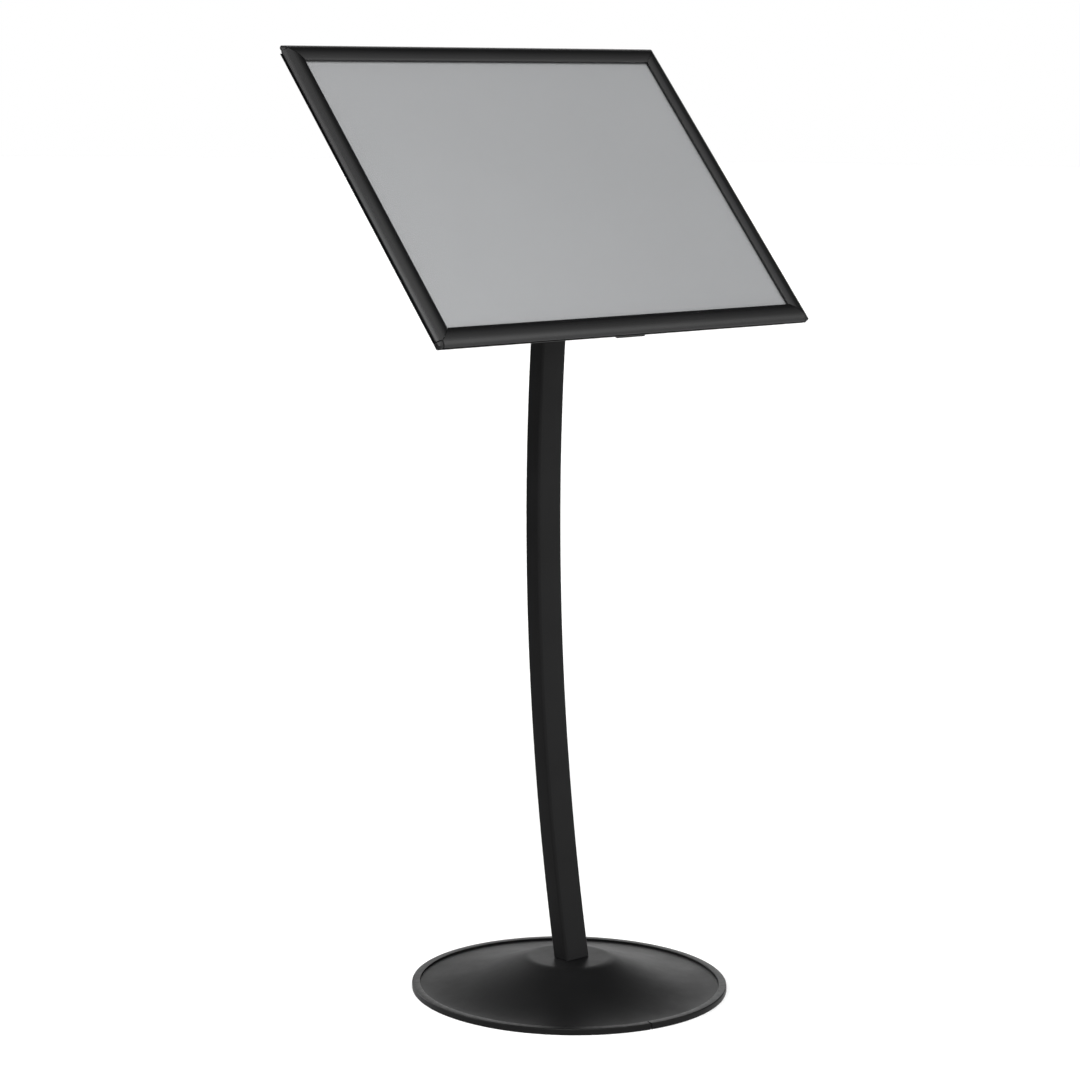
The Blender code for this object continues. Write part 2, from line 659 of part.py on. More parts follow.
def cap_mesh():
    """Rounded corner cap with a diagonal tongue that rests on the corner key."""
    outline = corner_outline(*CAP_SIZE, CAP_OUTER_ROUNDING, CAP_INNER_ROUNDING)
    drawn = bpy.data.objects.new("cap", prism("cap", outline, CAP_BOTTOM, CAP_TOP))
    guides.objects.link(drawn)
    bevel = drawn.modifiers.new("Edge", "BEVEL")
    bevel.width = CAP_EDGE_ROUNDING
    bevel.segments = 2
    bevel.angle_limit = CAP_EDGE_ANGLE
    start, end = CAP_TONGUE
    side = CAP_TONGUE_HALF / math.sqrt(2)
    corners = [(start + side, start - side), (end + side, end - side),
               (end - side, end + side), (start - side, start + side)]
    tongue = cutter("tongue", prism("tongue", corners, *CAP_TONGUE_LEVELS))
    combine(drawn, tongue, "UNION")
    mesh = baked(drawn)
    bpy.data.objects.remove(tongue, do_unlink=True)
    return mesh


def key_mesh():
    """L-shaped corner key for the lower left corner."""
    low, high = KEY_ACROSS
    corners = [(low, low, KEY_CORNER), (KEY_LEG, low, 0), (KEY_LEG, high, 0),
               (high, high, KEY_CORNER), (high, KEY_LEG, 0), (low, KEY_LEG, 0)]
    return prism("key", rounded(corners, SMALL_CORNER_STEPS), *KEY_LEVELS)


def build_corners(frames):
    """Caps and keys at the corners, and the room that the covers and base rails leave for them."""
    cover_room = corner_outline(TRIM_START, COVER_TRIM, MM, CAP_INNER_ROUNDING + GAP)
    rail_room = rounded(rectangle((TRIM_START, TRIM_START), (RAIL_TRIM, RAIL_TRIM)))
    bottom = RAIL_BACK - OVERCUT
    for name, sign_x, sign_y in CORNERS:
        tip = (sign_x * PANEL_WIDTH / 2, sign_y * PANEL_HEIGHT / 2, 0)
        turn = (-sign_x, -sign_y)
        part(f"corner_cap_{name}", mirrored(cap_mesh(), *turn), black_plastic, panel, tip)
        part(f"corner_key_{name}", mirrored(key_mesh(), *turn), zinc_steel, panel, tip)
        rail_bottom = RAIL_FLOOR + GAP / 2 if name == FULL_FLOOR_CORNER else bottom
        cover_cut = mirrored(prism("cover_trim", cover_room, bottom, TRIM_TOP), *turn)
        rail_cut = mirrored(prism("rail_trim", rail_room, rail_bottom, TRIM_TOP), *turn)
        cover_tool = cutter(f"cover_trim_{name}", cover_cut, panel, tip)
        rail_tool = cutter(f"rail_trim_{name}", rail_cut, panel, tip)
        for side in name.split("_"):
            combine(frames[side][1], rail_tool)
            combine(frames[side][2], cover_tool)


def build_sheets():
    half = (PANEL_WIDTH / 2 - SHEET_MARGIN, PANEL_HEIGHT / 2 - SHEET_MARGIN)
    outline = rounded(rectangle((-half[0], -half[1]), half))
    for name, levels, mat in (("backing_panel", BACKING_LEVELS, black_plastic),
                              ("poster_sheet", POSTER_LEVELS, grey_paper),
                              ("clear_sheet", CLEAR_LEVELS, clear_plastic)):
        part(name, prism(name, outline, *levels), mat, panel)


# ---------------------------------------------------------------- strap, head plate and screws

def screw_mesh(name, size, length):
    """Button-head screw along Z: the head's underside at Z = 0, the head below, the shank above."""
    shank_radius, head_radius, head_height, socket_across_flats = size
    profile = [(0, length), (shank_radius, length), (shank_radius, 0), (head_radius, 0),
               (head_radius, -head_height * SCREW_RIM), (head_radius * SCREW_CROWN, -head_height),
               (0, -head_height)]
    drawn = place(turned(name, profile, HOLE_STEPS), guides)
    socket_mesh = cylinder_mesh("socket", socket_across_flats / math.sqrt(3), -head_height - OVERCUT,
                                -head_height * SCREW_SOCKET_FLOOR, 6)
    socket = cutter("socket", socket_mesh)
    combine(drawn, socket)
    mesh = baked(drawn)
    bpy.data.objects.remove(socket, do_unlink=True)
    return mesh


def build_screws(name, size, spots, head_level, tip_level, hole_radius, hole_top, drilled):
    """Screws in through the panel's back at the spots, numbered from 1, with a hole for each."""
    mesh = screw_mesh(name, size, tip_level - head_level)
    for number, (x, y, objects) in enumerate(spots, 1):
        drill(drilled + objects, f"{name}_hole_{number}", hole_radius, head_level - OVERCUT,
              hole_top + OVERCUT, panel, (x, y, 0))
        part(f"{name}_{number}", mesh, zinc_steel, panel, (x, y, head_level))


def build_strap(plate_y, frames):
    """The strap, the head plate centred at plate_y up the panel, and the screws through them."""
    half_x = STRAP_WIDTH / 2
    strap_outline = rounded(rectangle((-half_x, STRAP_ENDS[0]), (half_x, STRAP_ENDS[1]), STRAP_CORNER))
    strap_mesh = prism("panel_strap", strap_outline, STRAP_BACK, STRAP_FRONT)
    strap = part("panel_strap", strap_mesh, black_coat, panel)

    half_x, half_y = PLATE_SIZE[0] / 2, PLATE_SIZE[1] / 2
    plate_outline = rounded(rectangle((-half_x, plate_y - half_y), (half_x, plate_y + half_y),
                                      PLATE_CORNER))
    plate_mesh = prism("head_plate", plate_outline, PLATE_BACK, PLATE_FRONT)
    plate = part("head_plate", plate_mesh, black_coat, panel)

    screw_x, screw_y = PLATE_SCREW_OFFSET
    spots = [(x, plate_y + y, []) for y in (-screw_y, screw_y) for x in (-screw_x, screw_x)]
    build_screws("head_screw", HEAD_SCREW, spots, PLATE_BACK - GAP, PLATE_SCREW_TIP,
                 HEAD_SCREW_HOLE, STRAP_FRONT, [strap, plate])

    reach = PANEL_HEIGHT / 2 - STRAP_SCREW_INSET
    spots = [(x, y, [frames[side][1]]) for side, y in (("bottom", -reach), ("top", reach))
             for x in (-STRAP_SCREW_X, STRAP_SCREW_X)]
    build_screws("strap_screw", STRAP_SCREW, spots, STRAP_BACK - GAP, STRAP_SCREW_TIP,
                 STRAP_SCREW_HOLE, RAIL_FLOOR, [strap])


# ---------------------------------------------------------------- assembly

clear_scene()
parts = new_collection("sign_stand")
guides = new_collection("cutters")

black_coat = material("black_powder_coat", (0.018, 0.018, 0.019), 0.42)
black_anodised = material("black_anodised_aluminium", (0.022, 0.022, 0.023), 0.38)
black_rubber = material("black_rubber", (0.012, 0.012, 0.012), 0.6)
black_plastic = material("black_plastic", (0.03, 0.03, 0.032), 0.5)
cast_iron = material("cast_iron", (0.06, 0.06, 0.06), 0.8)
zinc_steel = material("zinc_steel", (0.55, 0.56, 0.58), 0.35, 1.0)
spring_steel = material("spring_steel", (0.4, 0.4, 0.42), 0.3, 1.0)
grey_paper = material("grey_paper", (0.36, 0.365, 0.375), 0.7)
clear_plastic = material("clear_plastic", (0.9, 0.9, 0.9), 0.5)

base_dome = build_dome()
build_trim()
base_weight = build_weight()
clamp_plate = build_clamp_plate()
build_base_bolts()

post_length = post_length_to_plate()
build_post(post_length)
foot_insert = build_foot_insert()
for bolt_side, bolt_x in (("left", -BOLT_X), ("right", BOLT_X)):
    drill([base_dome, base_weight, clamp_plate, foot_insert], f"bolt_hole_{bolt_side}", BOLT_HOLE_RADIUS,
          WEIGHT_WEB_BOTTOM - 2 * CLAMP_THICKNESS, BOLT_TIP + OVERCUT, None, (bolt_x, BOLT_Y, 0))

panel = empty("panel_frame", None, PANEL_CENTRE, (PANEL_PITCH, 0, 0))
spring_mesh = build_spring_mesh()
side_frames = build_sides()
build_corners(side_frames)
build_sheets()
head_y = (post_point(post_length) - PANEL_CENTRE).dot(panel_axes()[0])
build_strap(head_y, side_frames)
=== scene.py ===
"""Looks of the sign stand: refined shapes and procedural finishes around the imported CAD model."""
import json
import math

import bmesh
import bpy
from mathutils import Matrix, Vector
from mathutils.geometry import tessellate_polygon


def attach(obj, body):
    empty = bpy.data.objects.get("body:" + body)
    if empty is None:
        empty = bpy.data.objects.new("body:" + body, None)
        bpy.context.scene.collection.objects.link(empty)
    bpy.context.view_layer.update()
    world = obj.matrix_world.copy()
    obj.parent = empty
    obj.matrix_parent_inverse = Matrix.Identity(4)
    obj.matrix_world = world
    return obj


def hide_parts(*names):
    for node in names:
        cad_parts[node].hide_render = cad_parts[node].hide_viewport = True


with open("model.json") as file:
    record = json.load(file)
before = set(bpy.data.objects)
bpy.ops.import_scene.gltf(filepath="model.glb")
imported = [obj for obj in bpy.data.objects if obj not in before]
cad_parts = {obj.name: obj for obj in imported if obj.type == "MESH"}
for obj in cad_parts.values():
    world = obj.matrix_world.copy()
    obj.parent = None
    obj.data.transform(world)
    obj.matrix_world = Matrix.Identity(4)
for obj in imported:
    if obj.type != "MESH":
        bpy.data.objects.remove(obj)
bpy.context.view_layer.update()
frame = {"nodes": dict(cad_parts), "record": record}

MM = 0.001
GAP = 0.3 * MM                                  # between pieces that touch

# Base
TRIM_RADIUS = 200.0 * MM
TRIM_HEIGHT = 8.0 * MM
TRIM_WIDTH = 10.0 * MM
TRIM_WALL = 2.4 * MM
TRIM_OUTER_ROUNDING = 1.3 * MM
TRIM_INNER_ROUNDING = 0.6 * MM
TRIM_SLOT_ROUNDING = 0.2 * MM
TRIM_EDGE_WIDTH = 0.35 * MM
TRIM_STEPS = 320
TRIM_JOINT_AZIMUTH = -103.0                     # of the butt joint, in degrees from +X
TRIM_JOINT_GAP = 2.0 * MM
TRIM_JOINT_DEPTH = 1.5 * MM
PLATEAU_RADIUS = 55.2 * MM
PLATEAU_HEIGHT = 40.0 * MM
PLATEAU_ROUNDING = 32.0 * MM                    # of the soft edge between the plateau and the flank
PLATEAU_RINGS = (0.3, 12, 24, 34, 42)           # radii in mm of the flat top's rings of vertices
FLANK_END_RADIUS = 186.5 * MM
FLANK_POWER = 1.7                               # 1 makes a cone, and more makes it hollow
FLANK_RINGS = 44
DOME_STEPS = 192
RIM_HEIGHT = 5.9 * MM
DOME_SHEET = 1.5 * MM
BOLT_X = 9.0 * MM
BOLT_Y = -2.1 * MM
BOLT_HOLE_RADIUS = 4.3 * MM

# Post, a rectangular tube bent to one long curve
POST_WIDTH = 40.0 * MM
POST_DEPTH = 25.0 * MM
POST_WALL = 1.5 * MM
POST_CORNER_RADIUS = 4.0 * MM
POST_EDGE_WIDTH = 0.35 * MM
POST_FOOT_Y = -3.7 * MM
POST_FOOT_LEAN = math.radians(11.7)
POST_BEND_RADIUS = 2.955
POST_STATIONS = 90
FOOT_SEARCH = (-0.05, 0.1)                      # lengths along the post that enclose its foot
TOP_SEARCH = (0.5, 1.2)                         # and its top

# Weld round the post's top
WELD_SIZE = 3.2 * MM
WELD_PITCH = 1.2 * MM                           # between its rings of vertices
WELD_RING_STEPS = 6
WELD_BULGE = 0.18                               # of its face, as a share of its size
WELD_RIPPLES = ((0.25 * MM, 1.9), (0.15 * MM, 0.37))    # height, and radians from ring to ring
WELD_ROOT = 0.3 * MM                            # inside the tube's outer surface
WELD_SET_BACK = 0.02 * MM                       # of its face from the post's end

# Panel: its frame has its origin at the panel's centre, and Z out of the panel's front
PANEL_WIDTH = 624.0 * MM
PANEL_HEIGHT = 450.0 * MM
PANEL_PITCH = math.radians(49.0)
PANEL_CENTRE = Vector((0.0, 41.8 * MM, 1015.0 * MM))
PANEL = Matrix.Translation(PANEL_CENTRE) @ Matrix.Rotation(PANEL_PITCH, 4, "X")
PANEL_NORMAL = PANEL.to_3x3() @ Vector((0, 0, 1))
PLATE_BACK = -18.4 * MM                         # of the head plate, which the post's top meets
# Each side's name, quarter turns from the bottom one, length and distance from the centre
SIDES = (
    ("bottom", 0, PANEL_WIDTH, PANEL_HEIGHT / 2),
    ("right", 1, PANEL_HEIGHT, PANEL_WIDTH / 2),
    ("top", 2, PANEL_WIDTH, PANEL_HEIGHT / 2),
    ("left", 3, PANEL_HEIGHT, PANEL_WIDTH / 2),
)
# Each corner's name and the signs of its X and Y
CORNERS = (("bottom_left", -1, -1), ("bottom_right", 1, -1), ("top_right", 1, 1), ("top_left", -1, 1))

# Cover section, in (Y inwards from the outer edge, Z out of the panel's front)
HINGE = Vector((2.9 * MM, -6.6 * MM))
COVER_SHEET = 1.2 * MM
COVER_RADIUS = 22.4 * MM
COVER_CROWN = 14.9 * MM
COVER_WIDTH = 25.0 * MM
COVER_LIP_BOTTOM = -5.9 * MM
COVER_SHOULDER = 0.41 * MM
COVER_SHOULDER_ROUNDING = 1.1 * MM
COVER_INNER_ROUNDING = 0.45 * MM
COVER_LIP_ROUNDING = 0.3 * MM
COVER_EDGE_WIDTH = 0.16 * MM
HOOK_INNER_RADIUS = 1.7 * MM
HOOK_OUTER_RADIUS = 2.8 * MM
HOOK_START = 40.0                               # the hook's ends round the hinge, in degrees
HOOK_END = 205.0
HOOK_ROOT = 6.0 * MM
MITRE_GAP = 0.7 * MM
COVER_TRIM = 8.6 * MM                           # room for the corner cap
COVER_TRIM_ROUNDING = 4.3 * MM

# Corner caps, in distances inwards from the corner's two outer edges
CAP_SIZE = (0.3 * MM, 7.9 * MM)
CAP_BOTTOM = -7.0 * MM
DEEP_CAP_BOTTOM = -9.6 * MM                     # three of the caps reach down to the rails' floors
DEEP_CAPS = ("bottom_left", "bottom_right", "top_right")
CAP_CLEARANCE = 0.15 * MM                       # below the covers' surface carried on over the cap
CAP_BLEND = 0.5 * MM                            # rounds the crease between the two covers' surfaces
CAP_OUTER_ROUNDING = 4.5 * MM
CAP_SIDE_ROUNDING = 1.2 * MM
CAP_INNER_ROUNDING = 4.0 * MM
CAP_RINGS = (1.0, 0.985, 0.95, 0.9, 0.84, 0.76, 0.66, 0.54, 0.4, 0.24, 0.1)     # shares of its size
CAP_EDGE_START = 0.76                           # the share past which the top's edge turns down
CAP_EDGE_DROP = 0.4 * MM
CAP_STEPS = 10
SKIRTED_CAPS = ("bottom_right", "top_right")    # these fill the floors' cut tips as well
SKIRT_LEVELS = (-10.7 * MM, -9.55 * MM)
SKIRT_REACH = 9.3 * MM
SKIRT_ROUNDING = 0.3 * MM
CAP_TONGUE = (4.0 * MM, 10.2 * MM)
CAP_TONGUE_HALF = 0.85 * MM
CAP_TONGUE_LEVELS = (-7.6 * MM, -6.6 * MM)

# Sheets, loose below the covers' lips: each one's rounding and the levels of its two faces
SHEETS = (
    ("backing_panel", 0.1 * MM, (-7.8 * MM, -7.35 * MM)),
    ("poster_sheet", 0.04 * MM, (-7.3 * MM, -7.1 * MM)),
    ("clear_sheet", 0.06 * MM, (-7.05 * MM, -6.85 * MM)),
)
FILM_ALPHA = 0.12

# How far the edges of the pieces that keep the CAD's shape are rounded
EDGE_WIDTHS = {
    "base_weight": 1.2 * MM,
    "base_clamp_plate": 0.4 * MM,
    "base_bolt_left": 0.35 * MM,
    "base_bolt_right": 0.35 * MM,
    "head_plate": 0.5 * MM,
    "panel_strap": 0.4 * MM,
    **{f"rail_{side}": 0.15 * MM for side, *_ in SIDES},
    **{f"head_screw_{i}": 0.2 * MM for i in range(1, 5)},
    **{f"strap_screw_{i}": 0.18 * MM for i in range(1, 5)},
}

# Studio: each soft light's azimuth from +X and elevation in degrees, focus and strength
SOFT_LIGHTS = (
    (227, 42, 36, 12.6),                # key, from the left over the reader's shoulder
    (145, 36, 37, 9.7),                 # high on the left, behind
    (91, 21, 38, 7.0),                  # rim light behind
    (43, 10, 38, 2.3),                  # backdrop's glow
    (307, 14, 36, 2.25),                # low fill on the right
    (283, 46, 8, 1.8),                  # broad fill in front
)
FILL_POSITION = Vector((-0.89, -1.06, 1.12))
FILL_SIZE = 0.7
FILL_POWER = 9.0
FLOOR_RADIUS = 30.0
FLOOR_LIGHT = 1.14                      # the floor's own light, seen only by the stand
FLOOR_FADE = (-4.0, 4.7)                # it fades out between these Y
FLOOR_LIFT = 0.12                       # keeps the shadows on the floor faint

# Camera: a long lens, level with the panel's top edge, looking down by 9 degrees
CAMERA_POSITION = Vector((-2.6093, -2.7677, 1.1769))
CAMERA_YAW = math.radians(-42.666)
CAMERA_PITCH = math.radians(8.983)
CAMERA_ROLL = math.radians(0.583)
CAMERA_LENS = 103.03667                 # in millimetres, as is the sensor's width
CAMERA_SENSOR = 36


# ---------------------------------------------------------------- materials

def node(tree, kind, **values):
    """A shader node with its properties and unlinked inputs set; inputs are given as in_Name."""
    made = tree.nodes.new("ShaderNode" + kind)
    for key, value in values.items():
        if key.startswith("in_"):
            made.inputs[key[3:].replace("_", " ")].default_value = value
        else:
            setattr(made, key, value)
    return made


def noise(tree, coords, scale, detail=3.0, roughness=0.55):
    made = node(tree, "TexNoise", in_Scale=scale, in_Detail=detail, in_Roughness=roughness)
    tree.links.new(coords, made.inputs["Vector"])
    return made.outputs["Fac"]


def remapped(tree, value, low, high, from_low=0.3, from_high=0.7):
    made = node(tree, "MapRange", in_From_Min=from_low, in_From_Max=from_high,
                in_To_Min=low, in_To_Max=high)
    tree.links.new(value, made.inputs["Value"])
    return made.outputs["Result"]


def mixed(tree, factor, first, second):
    """A colour between first and second; either may be a colour or a socket."""
    made = node(tree, "Mix", data_type="RGBA")
    tree.links.new(factor, made.inputs[0])
    for socket, value in ((made.inputs[6], first), (made.inputs[7], second)):
        if isinstance(value, tuple):
            socket.default_value = (*value, 1.0)
        else:
            tree.links.new(value, socket)
    return made.outputs[2]


def bumped(tree, height, strength, distance, normal=None):
    made = node(tree, "Bump", in_Strength=strength, in_Distance=distance)
    tree.links.new(height, made.inputs["Height"])
    if normal is not None:
        tree.links.new(normal, made.inputs["Normal"])
    return made.outputs["Normal"]


WEAR_EDGES = (0.53, 0.62)               # pointiness at which wear starts and is complete
WEAR_SCALE = 260.0
WEAR_BREAKS = (0.45, 0.7)               # noise that breaks the worn edges up
SMUDGE_SCALE = 2.3                      # of the patches' scale


def surface(name, color, roughness, metallic=0.0, specular=0.5, spread=0.05, shade=0.15, patch=30.0,
            grain=(900.0, 0.25, 0.05 * MM), swell=None, stretch=(1, 1, 1), tilt=0.0, wear=None):
    """A procedural finish: mottled colour and roughness, a fine grain, a slow swell and worn edges.

    grain is (scale, bump strength, bump distance), swell the same at a larger scale, and wear is
    (worn colour, amount). stretch draws the grain out along the axes, tilted about X."""
    mat = bpy.data.materials.new(name)
    mat.use_nodes = True
    tree = mat.node_tree
    shader = tree.nodes["Principled BSDF"]
    shader.inputs["Metallic"].default_value = metallic
    shader.inputs["Specular IOR Level"].default_value = specular
    coords = node(tree, "TexCoord").outputs["Object"]
    stretched = node(tree, "Mapping", vector_type="TEXTURE", in_Scale=stretch, in_Rotation=(tilt, 0, 0))
    tree.links.new(coords, stretched.inputs["Vector"])
    stretched = stretched.outputs["Vector"]

    mottle = noise(tree, coords, patch, 5.0, 0.6)
    darker = tuple(c * (1 - shade) for c in color)
    lighter = tuple(c * (1 + shade) for c in color)
    base = mixed(tree, remapped(tree, mottle, 0.0, 1.0), darker, lighter)
    if wear is not None:
        worn, amount = wear
        edges = node(tree, "NewGeometry").outputs["Pointiness"]
        edges = remapped(tree, edges, 0.0, 1.0, *WEAR_EDGES)
        broken = remapped(tree, noise(tree, coords, WEAR_SCALE, 6.0, 0.7), 0.0, amount, *WEAR_BREAKS)
        factor = node(tree, "Math", operation="MULTIPLY")
        tree.links.new(edges, factor.inputs[0])
        tree.links.new(broken, factor.inputs[1])
        base = mixed(tree, factor.outputs[0], base, worn)
    tree.links.new(base, shader.inputs["Base Color"])

    smudge = noise(tree, stretched, patch * SMUDGE_SCALE, 4.0, 0.65)
    rough = remapped(tree, smudge, roughness - spread, roughness + spread)
    tree.links.new(rough, shader.inputs["Roughness"])

    normal = None
    if swell is not None:
        normal = bumped(tree, noise(tree, coords, swell[0], 2.0, 0.5), swell[1], swell[2])
    normal = bumped(tree, noise(tree, stretched, grain[0], 2.0, 0.5), grain[1], grain[2], normal)
    tree.links.new(normal, shader.inputs["Normal"])
    return mat


STEEL = (0.32, 0.32, 0.33)
BARE_ALUMINIUM = (0.2, 0.2, 0.205)
MATERIALS = {
    "black_powder_coat": surface("powder_coat", (0.0042, 0.0042, 0.0044), 0.46, specular=0.18,
                                 patch=9.0, spread=0.035,
                                 grain=(620.0, 0.35, 0.06 * MM), swell=(90.0, 0.25, 0.08 * MM),
                                 wear=(STEEL, 0.10)),
    "black_anodised_aluminium": surface("anodised", (0.003, 0.003, 0.0032), 0.28, spread=0.03, patch=14.0,
                                        grain=(1500.0, 0.16, 0.03 * MM), stretch=(50, 1, 1),
                                        wear=(BARE_ALUMINIUM, 0.04)),
    "black_anodised_short": surface("anodised_short", (0.003, 0.003, 0.0032), 0.28, spread=0.03, patch=14.0,
                                    grain=(1500.0, 0.16, 0.03 * MM), stretch=(1, 50, 1), tilt=PANEL_PITCH,
                                    wear=(BARE_ALUMINIUM, 0.04)),
    "black_rubber": surface("edge_rubber", (0.006, 0.006, 0.006), 0.38, specular=0.15, patch=60.0,
                            spread=0.05, grain=(1400.0, 0.35, 0.05 * MM)),
    "black_plastic": surface("moulded_plastic", (0.004, 0.004, 0.0042), 0.34, specular=0.35, patch=70.0,
                             grain=(1700.0, 0.4, 0.06 * MM)),
    "cast_iron": surface("primed_casting", (0.045, 0.046, 0.05), 0.78, patch=25.0, shade=0.35,
                         grain=(420.0, 0.8, 0.5 * MM), swell=(60.0, 0.5, 1.0 * MM)),
    "zinc_steel": surface("zinc_plate", (0.52, 0.53, 0.55), 0.30, metallic=1.0, patch=120.0, shade=0.12,
                          spread=0.08, grain=(900.0, 0.2, 0.03 * MM)),
    "spring_steel": surface("tempered_spring", (0.27, 0.27, 0.30), 0.28, metallic=1.0, patch=150.0,
                            shade=0.2, grain=(1200.0, 0.2, 0.02 * MM), stretch=(20, 1, 1)),
    "grey_paper": surface("poster_paper", (0.152, 0.1545, 0.158), 0.75, specular=0.25, patch=6.0,
                          shade=0.012, grain=(1600.0, 0.12, 0.03 * MM)),
    "clear_plastic": surface("clear_film", (0.75, 0.76, 0.77), 0.42, specular=0.45, patch=5.0, shade=0.02,
                             spread=0.03, grain=(1900.0, 0.25, 0.02 * MM), swell=(8.0, 0.12, 0.4 * MM)),
}
MATERIALS["clear_plastic"].node_tree.nodes["Principled BSDF"].inputs["Alpha"].default_value = FILM_ALPHA


# ---------------------------------------------------------------- meshes

def shown(name, mesh, slot, body="stand", world=None, replaces=(), finish=None):
    """A finished piece: its mesh in its own frame, its finish, and the body that it moves with."""
    if world is not None:
        mesh.transform(world)
    obj = bpy.data.objects.new(name, mesh)
    bpy.context.scene.collection.objects.link(obj)
    obj.data.materials.clear()
    obj.data.materials.append(MATERIALS[finish or slot])
    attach(obj, body)
    if replaces:
        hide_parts(*replaces)
    return obj


def mesh_from(name, bm, sharp=30):
    """Mesh of bm with its faces out, smooth over round stretches and sharp at edges."""
    bmesh.ops.recalc_face_normals(bm, faces=bm.faces)
    mesh = bpy.data.meshes.new(name)
    bm.to_mesh(mesh)
    bm.free()
    mesh.shade_smooth()
    mesh.set_sharp_from_angle(angle=math.radians(sharp))
    return mesh


def softened(obj, width, segments=2, angle=35):
    """Round the piece's sharp edges."""
    bevel = obj.modifiers.new("Edges", "BEVEL")
    bevel.width = width
    bevel.segments = segments
    bevel.limit_method = "ANGLE"
    bevel.angle_limit = math.radians(angle)
    bevel.harden_normals = True


def arc(centre, radius, start, end, steps):
    angles = [math.radians(start + (end - start) * i / steps) for i in range(steps + 1)]
    return [Vector((centre[0] + radius * math.cos(a), centre[1] + radius * math.sin(a))) for a in angles]


def filleted(before, corner, after, radius, steps=5):
    """Points that round off one corner of an outline."""
    first = (before - corner).normalized()
    second = (after - corner).normalized()
    half = first.angle(second) / 2
    centre = corner + (first + second).normalized() * radius / math.sin(half)
    reach = radius / math.tan(half)
    start = corner + first * reach - centre
    end = corner + second * reach - centre
    turn = start.angle_signed(end)
    return [centre + Matrix.Rotation(-turn * i / steps, 2) @ start for i in range(steps + 1)]


def rounded(corners, steps=6):
    """Closed outline through (x, y, radius) corners."""
    outline = []
    count = len(corners)
    for index, (x, y, radius) in enumerate(corners):
        corner = Vector((x, y))
        if radius == 0:
            outline.append(corner)
            continue
        before = Vector(corners[index - 1][:2])
        after = Vector(corners[(index + 1) % count][:2])
        outline += filleted(before, corner, after, radius, steps)
    return outline


def revolved(profile, steps, start=0.0, turn=2 * math.pi):
    """bmesh of a closed (radius, height) outline turned about Z; a part turn leaves two flat ends."""
    bm = bmesh.new()
    full = turn > 2 * math.pi - 1e-6
    rings = []
    for i in range(steps if full else steps + 1):
        angle = start + turn * i / steps
        ring = []
        for radius, height in profile:
            ring.append(bm.verts.new((radius * math.cos(angle), radius * math.sin(angle), height)))
        rings.append(ring)
    count = len(profile)
    pairs = list(zip(rings, rings[1:])) + ([(rings[-1], rings[0])] if full else [])
    for this, following in pairs:
        for k in range(count):
            face = [this[k], following[k], following[(k + 1) % count], this[(k + 1) % count]]
            bm.faces.new(face)
    if not full:
        bm.faces.new(rings[0])
        bm.faces.new(list(reversed(rings[-1])))
    return bm


def finish_of(node_name, slot):
    """The extrusions of the short sides have their drawing lines up the panel."""
    short = node_name.endswith(("_left", "_right")) and slot == "black_anodised_aluminium"
    return "black_anodised_short" if short else slot


def relevelled(bm, levels):
    """Move a sheet's two faces to new levels in the panel frame."""
    bmesh.ops.transform(bm, matrix=PANEL.inverted(), verts=bm.verts)
    middle = sum(vert.co.z for vert in bm.verts) / len(bm.verts)
    for vert in bm.verts:
        vert.co.z = levels[1] if vert.co.z > middle else levels[0]
    bmesh.ops.transform(bm, matrix=PANEL, verts=bm.verts)


def refined(node_name, slot, width, levels=None):
    """A CAD node's own shape with its edges rounded, standing for that node."""
    bm = bmesh.new()
    bm.from_mesh(frame["nodes"][node_name].data)
    bmesh.ops.remove_doubles(bm, verts=bm.verts, dist=0.002 * MM)
    bmesh.ops.dissolve_limit(bm, angle_limit=math.radians(0.4), verts=bm.verts, edges=bm.edges)
    if levels is not None:
        relevelled(bm, levels)
    obj = shown(node_name + "_shape", mesh_from(node_name + "_shape", bm), slot, replaces=(node_name,),
                finish=finish_of(node_name, slot))
    softened(obj, width)


# ---------------------------------------------------------------- base

def flank_height(radius):
    along = (radius - PLATEAU_RADIUS) / (FLANK_END_RADIUS - PLATEAU_RADIUS)
    return RIM_HEIGHT + (PLATEAU_HEIGHT - RIM_HEIGHT) * max(1 - along, 0) ** FLANK_POWER


def dome_profile():
    """Closed outline of the pressed dome: over the top from the centre to the rim, and back beneath."""
    rim = TRIM_RADIUS - TRIM_WALL - 2 * GAP
    spacing = (rim - PLATEAU_RADIUS) / FLANK_RINGS
    flank = []
    for i in range(1, FLANK_RINGS + 1):
        radius = PLATEAU_RADIUS + spacing * i
        flank.append(Vector((radius, flank_height(radius))))
    edge = Vector((PLATEAU_RADIUS, PLATEAU_HEIGHT))
    top = [Vector((r * MM, PLATEAU_HEIGHT)) for r in PLATEAU_RINGS]
    top += filleted(Vector((0, PLATEAU_HEIGHT)), edge, flank[0], PLATEAU_ROUNDING, 14)
    top += [point for point in flank if point.x > top[-1].x + 0.5 * MM]
    beneath = []
    for index, point in enumerate(top):
        before = top[max(index - 1, 0)]
        after = top[min(index + 1, len(top) - 1)]
        along = (after - before).normalized()
        beneath.append(point + Vector((along.y, -along.x)) * DOME_SHEET)
    beneath[0].x = top[0].x
    return top + beneath[::-1]


